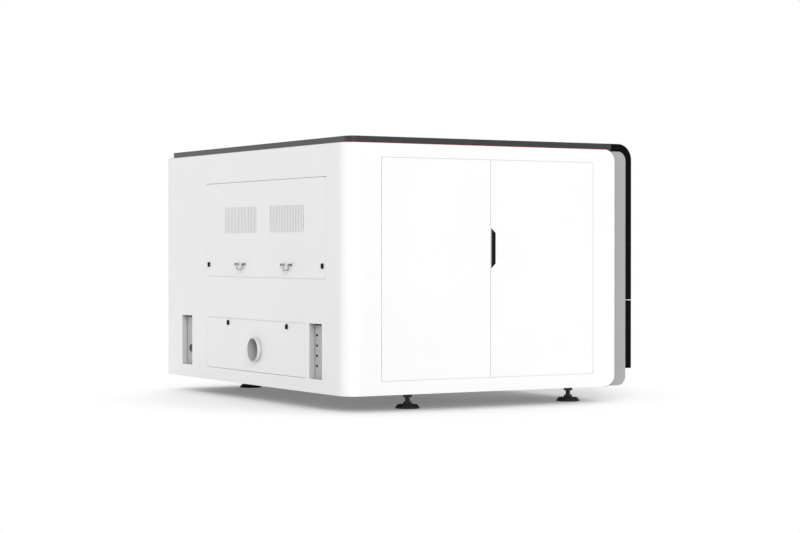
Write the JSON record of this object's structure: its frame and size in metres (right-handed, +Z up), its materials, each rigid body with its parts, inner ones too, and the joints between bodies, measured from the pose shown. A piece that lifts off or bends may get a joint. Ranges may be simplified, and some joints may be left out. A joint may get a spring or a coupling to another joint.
{
  "type": "fiber laser cutting machine",
  "caption": "Enclosed flat-bed fiber laser cutting machine with white cabinet, black flip-up hood, side doors, vented rear covers and levelling feet.",
  "frame": {"origin": "middle of the floor footprint, at floor level", "axes": "+Z up, front of the machine towards -Y, operator's left towards -X"},
  "size_m": [2.83, 2.314, 1.75],
  "materials": {
    "white_steel": "semi-gloss powder coat",
    "roof_black": "gloss",
    "hood_black": "gloss",
    "frame_grey": "satin",
    "recess_grey": "satin",
    "accent_red": "satin",
    "black_plastic": "fine grain",
    "foot_black": "matt",
    "zinc_steel": "zinc plated",
    "frame_steel": "hammer paint",
    "liner_white": "semi-gloss",
    "rail_steel": "ground",
    "slat_steel": "mill scale",
    "gantry_aluminium": "machined",
    "head_dark": "anodised black",
    "copper": "turned",
    "window_tint": "laser-safe tint",
    "screen_glass": "gloss",
    "device_black": "fine texture",
    "device_grey": "fine texture",
    "button_red": "gloss",
    "button_green": "gloss"
  },
  "bodies": {
    "machine": {"base_frame": "frame_steel", "foot_pads": "foot_black", "foot_bolts": "device_black", "left_side_shell": "white_steel", "right_side_shell": "white_steel", "rear_shell": "white_steel", "cable_recess": "recess_grey", "cable_bushings": "black_plastic", "inlet_recess": "recess_grey", "power_inlet": "device_grey", "roof_cap": "roof_black", "accent_trim": "accent_red", "front_frame": "frame_grey", "lower_fascia": "hood_black", "console_fascia": "hood_black", "control_screen": "screen_glass", "hinge_pins": "zinc_steel", "side_partitions": "liner_white", "rear_partition": "liner_white", "bed_frame": "frame_steel", "y_rails": "rail_steel", "table_frame": "frame_steel", "slats": "slat_steel", "equipment_rack": "zinc_steel", "laser_source": "device_black", "servo_drives": "device_grey", "chiller": "device_grey", "drawer_runners": "zinc_steel"},
    "gantry": {"gantry_beam": "gantry_aluminium", "y_blocks": "rail_steel", "x_rails": "rail_steel"},
    "carriage": {"x_carriage": "gantry_aluminium", "x_blocks": "rail_steel", "z_motor": "head_dark"},
    "head": {"z_plate": "gantry_aluminium", "cutting_head": "head_dark", "nozzle": "copper"},
    "hood": {"hood_shell": "hood_black", "hood_window": "window_tint", "hood_handle": "black_plastic"},
    "front_door": {"door_front_leaf": "white_steel", "door_pull": "black_plastic"},
    "rear_door": {"door_rear_leaf": "white_steel"},
    "upper_cover": {"upper_cover": "white_steel", "handle_brackets": "zinc_steel"},
    "lower_cover": {"lower_cover": "white_steel", "exhaust_spigot": "zinc_steel"},
    "bail_left": {"bail_handle_left": "zinc_steel"},
    "bail_right": {"bail_handle_right": "zinc_steel"},
    "upper_latch_left": {"upper_latch_left": "black_plastic"},
    "upper_latch_right": {"upper_latch_right": "black_plastic"},
    "lower_latch_left": {"lower_latch_left": "black_plastic"},
    "lower_latch_right": {"lower_latch_right": "black_plastic"},
    "drawer": {"scrap_drawer": "zinc_steel", "drawer_front": "hood_black"},
    "fan_left": {"fan_left": "black_plastic"},
    "fan_right": {"fan_right": "black_plastic"},
    "estop": {"estop_button": "button_red"},
    "start": {"start_button": "button_green"},
    "stop": {"stop_button": "button_red"}
  },
  "joints": [
    {"name": "gantry_slide", "type": "slide", "parent": "machine", "child": "gantry", "axis": [0, -1, 0], "range_m": [0, 0.88]},
    {"name": "carriage_slide", "type": "slide", "parent": "gantry", "child": "carriage", "axis": [1, 0, 0], "range_m": [-0.62, 0.62]},
    {"name": "head_slide", "type": "slide", "parent": "carriage", "child": "head", "axis": [0, 0, -1], "range_m": [0, 0.12]},
    {"name": "hood_hinge", "type": "hinge", "parent": "machine", "child": "hood", "pos_m": [0, -0.927, 1.741], "axis": [-1, 0, 0], "range_deg": [0, 75]},
    {"name": "front_door_hinge", "type": "hinge", "parent": "machine", "child": "front_door", "pos_m": [-1.407, -0.7535, 0.903], "axis": [0, 0, 1], "range_deg": [0, 110]},
    {"name": "rear_door_hinge", "type": "hinge", "parent": "machine", "child": "rear_door", "pos_m": [-1.407, 0.8555, 0.903], "axis": [0, 0, -1], "range_deg": [0, 110]},
    {"name": "upper_cover_hinge", "type": "hinge", "parent": "machine", "child": "upper_cover", "pos_m": [-0.243, 1.113, 1.4845], "axis": [1, 0, 0], "range_deg": [0, 85]},
    {"name": "lower_cover_hinge", "type": "hinge", "parent": "machine", "child": "lower_cover", "pos_m": [-0.1085, 1.113, 0.2135], "axis": [-1, 0, 0], "range_deg": [0, 85]},
    {"name": "drawer_slide", "type": "slide", "parent": "machine", "child": "drawer", "axis": [0, -1, 0], "range_m": [0, 0.6]},
    {"name": "bail_left_swing", "type": "hinge", "parent": "upper_cover", "child": "bail_left", "pos_m": [-0.6095, 1.139, 0.932], "axis": [1, 0, 0], "range_deg": [0, 95]},
    {"name": "bail_right_swing", "type": "hinge", "parent": "upper_cover", "child": "bail_right", "pos_m": [0.0875, 1.139, 0.932], "axis": [1, 0, 0], "range_deg": [0, 95]},
    {"name": "upper_latch_left_turn", "type": "hinge", "parent": "upper_cover", "child": "upper_latch_left", "pos_m": [-1.098, 1.121, 0.927], "axis": [0, 1, 0], "range_deg": [0, 90]},
    {"name": "upper_latch_right_turn", "type": "hinge", "parent": "upper_cover", "child": "upper_latch_right", "pos_m": [0.612, 1.121, 0.927], "axis": [0, -1, 0], "range_deg": [0, 90]},
    {"name": "lower_latch_left_turn", "type": "hinge", "parent": "lower_cover", "child": "lower_latch_left", "pos_m": [-0.598, 1.121, 0.524], "axis": [0, 1, 0], "range_deg": [0, 90]},
    {"name": "lower_latch_right_turn", "type": "hinge", "parent": "lower_cover", "child": "lower_latch_right", "pos_m": [0.296, 1.121, 0.524], "axis": [0, 1, 0], "range_deg": [0, 90]},
    {"name": "fan_left_spin", "type": "hinge", "parent": "machine", "child": "fan_left", "pos_m": [-0.5915, 1.005, 1.236], "axis": [0, 1, 0], "continuous": true},
    {"name": "fan_right_spin", "type": "hinge", "parent": "machine", "child": "fan_right", "pos_m": [0.1055, 1.005, 1.236], "axis": [0, 1, 0], "continuous": true},
    {"name": "estop_press", "type": "slide", "parent": "machine", "child": "estop", "axis": [0, 1, 0], "range_m": [0, 0.006]},
    {"name": "start_press", "type": "slide", "parent": "machine", "child": "start", "axis": [0, 1, 0], "range_m": [0, 0.003], "stiffness_N_per_m": 700},
    {"name": "stop_press", "type": "slide", "parent": "machine", "child": "stop", "axis": [0, 1, 0], "range_m": [0, 0.003], "stiffness_N_per_m": 700}
  ]
}
